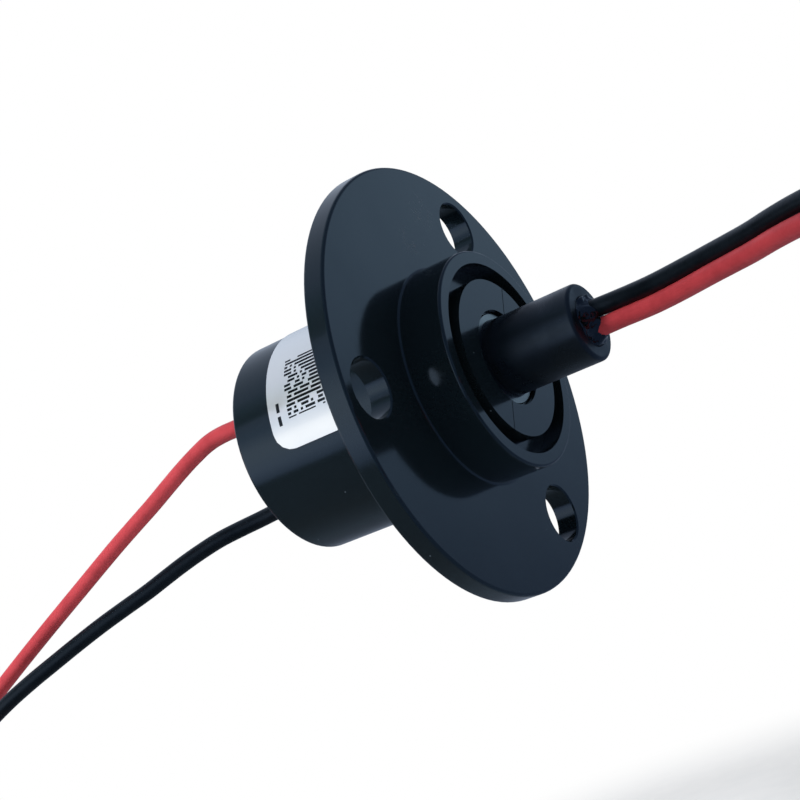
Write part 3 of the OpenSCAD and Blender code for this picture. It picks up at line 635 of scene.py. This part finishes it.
finish(metal("ground_bearing_steel", "#8d9393", 0.22, 0.12, 0.02), "front_bearing_outer_race",
       "front_bearing_inner_race", "front_bearing_shields", "front_bearing_balls", "rear_bearing_outer_race",
       "rear_bearing_inner_race", "rear_bearing_balls")
finish(metal("gold_plated_alloy", "#e0b45c", 0.18, 0.1, 0.002), "contact_ring_red", "contact_ring_black",
       "brushes_red", "brushes_black")
finish(metal("pressed_brass", "#c6a467", 0.3, 0.2, 0.004), "front_bearing_cage", "rear_bearing_cage")
finish(metal("turned_aluminium", "#c4c5c8", 0.3, 0.12, 0.006), "ring_collar")
finish(metal("tinned_copper", "#c3c4c1", 0.32, 0.3, 0.01), *(f"{name}_strands" for name in LEADS))
print("5 metals")

# %% [markdown]
# ## Boards, spacers and ties
# The brush boards are glass-fibre laminate, the spacers a pale insulating plastic and the ties nylon. None
# is polished, so a fine grain with a slight change of colour is enough for all three.

# %% Boards, spacers and ties
def plain_plastic(name, colour, second, roughness, grain_mm):
    """Unpolished plastic or laminate with a fine grain and a slight change of colour."""
    made, tree, shader, place = material(name, IOR=1.5)
    grain = add(tree, "TexNoise", {"Vector": place, "Scale": per_mm(grain_mm), "Detail": 4.0})
    tint = add(tree, "Mix", {"Factor": grain.outputs["Fac"], "A": linear(colour), "B": linear(second)},
               data_type="RGBA")
    tree.links.new(tint.outputs["Result"], shader.inputs["Base Color"])
    tree.links.new(between(tree, grain.outputs["Fac"], 0.3, 0.7, roughness, roughness + 0.15),
                   shader.inputs["Roughness"])
    bump = add(tree, "Bump", {"Height": grain.outputs["Fac"], "Strength": 0.3, "Distance": 0.02 * MM})
    tree.links.new(bump.outputs["Normal"], shader.inputs["Normal"])
    return made


finish(plain_plastic("glass_fibre_board", "#1f6b3a", "#2a7a46", 0.35, 0.5), "brush_board_red",
       "brush_board_black")
finish(plain_plastic("insulating_plastic", "#ded6c2", "#d2c8b0", 0.5, 0.4), "front_spacer", "middle_spacer",
       "rear_spacer")
finish(plain_plastic("nylon_tie", "#e6e6e1", "#d9d9d3", 0.45, 0.6), "stator_coil_tie", "rotor_coil_tie")
print("3 plain plastics")

# %% [markdown]
# ## Studio
# A glossy black thing looks like what stands around it. A light tent does that job in a studio: a pale
# shell with brighter and darker panels, close round the object. Here it is a large sphere that only
# reflections see, painted by direction: a bright panel at the left with hard edges, a dark gap above and
# below it, and a softer glow at the right that fades downwards. Lamps and the world give the plain, even
# light on the colours.

# %% Light tent
TENT_R = 2.0

# Angles are about +X, from +Y towards +Z; -180 and 180 are the same place, straight at -Y
LEFT_WALL = [
    (-180, (1.30, 1.28, 1.26, 1)), (-165, (1.12, 1.15, 1.25, 1)), (-155, (0.60, 0.66, 0.80, 1)),
    (-151, (0.08, 0.08, 0.08, 1)), (-149, (0.14, 0.14, 0.14, 1)), (-147, (0.08, 0.08, 0.08, 1)),
    (-144, (0.13, 0.13, 0.13, 1)), (-90, (0.13, 0.14, 0.14, 1)), (-58, (0.16, 0.20, 0.24, 1)),
    (-38, (0.14, 0.17, 0.22, 1)), (0, (0.24, 0.28, 0.36, 1)), (30, (0.45, 0.52, 0.64, 1)),
    (58, (0.46, 0.52, 0.64, 1)), (93, (0.40, 0.44, 0.53, 1)), (113, (0.34, 0.38, 0.47, 1)),
    (124, (0.18, 0.24, 0.27, 1)), (133, (0.08, 0.10, 0.10, 1)), (139, (0.08, 0.10, 0.10, 1)),
    (142, (0.44, 0.46, 0.54, 1)), (156, (0.58, 0.65, 0.76, 1)), (172, (1.30, 1.28, 1.26, 1))]
RIGHT_WALL = (0.12, 0.17, 0.27, 1)
RIGHT_GLOW = (0.45, 0.62, 0.78, 1)
GLOW_TOWARDS = Vector((0.46, 0.86, 0.25)).normalized()
GLOW_SPREAD = 0.36


def tent():
    """A large sphere round the object that only reflections see, painted by direction."""
    bm = bmesh.new()
    bmesh.ops.create_uvsphere(bm, u_segments=48, v_segments=24, radius=TENT_R)
    bmesh.ops.reverse_faces(bm, faces=bm.faces)
    mesh = bpy.data.meshes.new("light_tent")
    bm.to_mesh(mesh)
    bm.free()
    made = bpy.data.materials.new("tent_panels")
    made.use_nodes = True
    made.cycles.emission_sampling = "NONE"
    tree = made.node_tree
    tree.nodes.clear()
    way = add(tree, "VectorMath", {0: add(tree, "TexCoord").outputs["Object"]}, operation="NORMALIZE")
    split = add(tree, "SeparateXYZ", {"Vector": way.outputs["Vector"]})
    x, y, z = (split.outputs[axis] for axis in "XYZ")
    turn = add(tree, "Math", {0: z, 1: y}, operation="ARCTAN2").outputs["Value"]
    turn = add(tree, "MapRange", {"Value": turn, "From Min": -math.pi, "From Max": math.pi}).outputs["Result"]
    wall = add(tree, "ValToRGB", {"Fac": turn})
    ramp = wall.color_ramp
    ramp.elements[0].position = 0
    ramp.elements[0].color = LEFT_WALL[0][1]
    ramp.elements[1].position = 1
    ramp.elements[1].color = LEFT_WALL[0][1]
    for degrees, colour in LEFT_WALL[1:]:
        ramp.elements.new((degrees + 180) / 360).color = colour
    glow = add(tree, "VectorMath", {0: way.outputs["Vector"], 1: GLOW_TOWARDS}, operation="DISTANCE")
    glow = between(tree, glow.outputs["Value"], 0.0, GLOW_SPREAD, 1.0, 0.0)
    right_wall = add(tree, "Mix", {"Factor": glow, "A": RIGHT_WALL, "B": RIGHT_GLOW}, data_type="RGBA")
    side = between(tree, x, -0.25, 0.15)
    both = add(tree, "Mix", {"Factor": side, "A": wall.outputs["Color"], "B": right_wall.outputs["Result"]},
               data_type="RGBA")
    shine = add(tree, "Emission", {"Color": both.outputs["Result"], "Strength": 1.0})
    add(tree, "OutputMaterial", {"Surface": shine.outputs["Emission"]})
    mesh.materials.append(made)
    shell = bpy.data.objects.new("light_tent", mesh)
    bpy.context.scene.collection.objects.link(shell)
    for ray in ("camera", "diffuse", "transmission", "volume_scatter", "shadow"):
        setattr(shell, f"visible_{ray}", False)


tent()
print("tent with", len(LEFT_WALL), "shades on its left wall")

# %% [markdown]
# ## Floor, world and lamps
# The object rests over a sheet of pale paper that fades to pure white further away, so only the shadow near
# the object shows. The world gives an even light from all round. Two soft lamps shape the leads and the
# label.

# %% Floor, world and lamps
def floor():
    """A sheet of pale paper under the object that turns pure white further away."""
    bm = bmesh.new()
    bmesh.ops.create_grid(bm, x_segments=1, y_segments=1, size=1.5)
    bmesh.ops.translate(bm, verts=bm.verts, vec=(0, 0, cad_box[0][2]))
    mesh = bpy.data.meshes.new("floor")
    bm.to_mesh(mesh)
    bm.free()
    made, tree, shader, place = material("pale_paper", Roughness=0.9)
    fibre = add(tree, "TexNoise", {"Vector": place, "Scale": per_mm(3), "Detail": 2.0})
    tint = add(tree, "Mix", {"Factor": fibre.outputs["Fac"], "A": linear("#eceef0"), "B": linear("#f4f5f6")},
               data_type="RGBA")
    tree.links.new(tint.outputs["Result"], shader.inputs["Base Color"])
    away = add(tree, "VectorMath", {0: place}, operation="LENGTH").outputs["Value"]
    camera_ray = add(tree, "LightPath").outputs["Is Camera Ray"]
    far = add(tree, "Math", {0: between(tree, away, 0.06, 0.1), 1: camera_ray}, operation="MULTIPLY")
    white = add(tree, "Emission", {"Color": (1, 1, 1, 1), "Strength": 1.0})
    layers = {0: far.outputs["Value"], 1: shader.outputs["BSDF"], 2: white.outputs["Emission"]}
    blend = add(tree, "MixShader", layers)
    tree.links.new(blend.outputs["Shader"], tree.nodes["Material Output"].inputs["Surface"])
    mesh.materials.append(made)
    sheet = bpy.data.objects.new("floor", mesh)
    bpy.context.scene.collection.objects.link(sheet)
    sheet.visible_glossy = False


floor()
AMBIENT = 0.45
world = bpy.data.worlds.new("studio")
world.use_nodes = True
bpy.context.scene.world = world
sky = world.node_tree
sky.nodes.clear()
ray = add(sky, "LightPath").outputs
seen = add(sky, "Math", {0: ray["Is Camera Ray"], 1: ray["Is Glossy Ray"]}, operation="ADD").outputs["Value"]
seen = add(sky, "Math", {0: seen, 1: ray["Is Transmission Ray"]}, operation="ADD", use_clamp=True)
level = add(sky, "MapRange", {"Value": seen.outputs["Value"], "To Min": AMBIENT, "To Max": 1.0})
backdrop = add(sky, "Background", {"Color": (1, 1, 1, 1), "Strength": level.outputs["Result"]})
add(sky, "OutputWorld", {"Surface": backdrop.outputs["Background"]})


def lamp(name, where, aim, size, power, colour, spread=180):
    """A soft square lamp that lights colours, and leaves the reflections to the tent."""
    data = bpy.data.lights.new(name, "AREA")
    data.size = size
    data.energy = power
    data.spread = math.radians(spread)
    data.color = linear(colour)[:3]
    made = bpy.data.objects.new(name, data)
    made.location = where
    made.rotation_euler = (Vector(aim) - Vector(where)).to_track_quat("-Z", "Y").to_euler()
    made.visible_glossy = False
    bpy.context.scene.collection.objects.link(made)


lamp("key", (-0.2, -0.22, 0.2), (-0.065, 0, -0.005), 0.12, 0.11, "#ffffff", spread=46)
lamp("fill", (0.1, -0.5, 0.4), (0, 0, 0), 0.4, 0.2, "#f4f8ff")
bpy.context.scene.view_settings.view_transform = "Standard"
print("floor, world and 2 lamps")
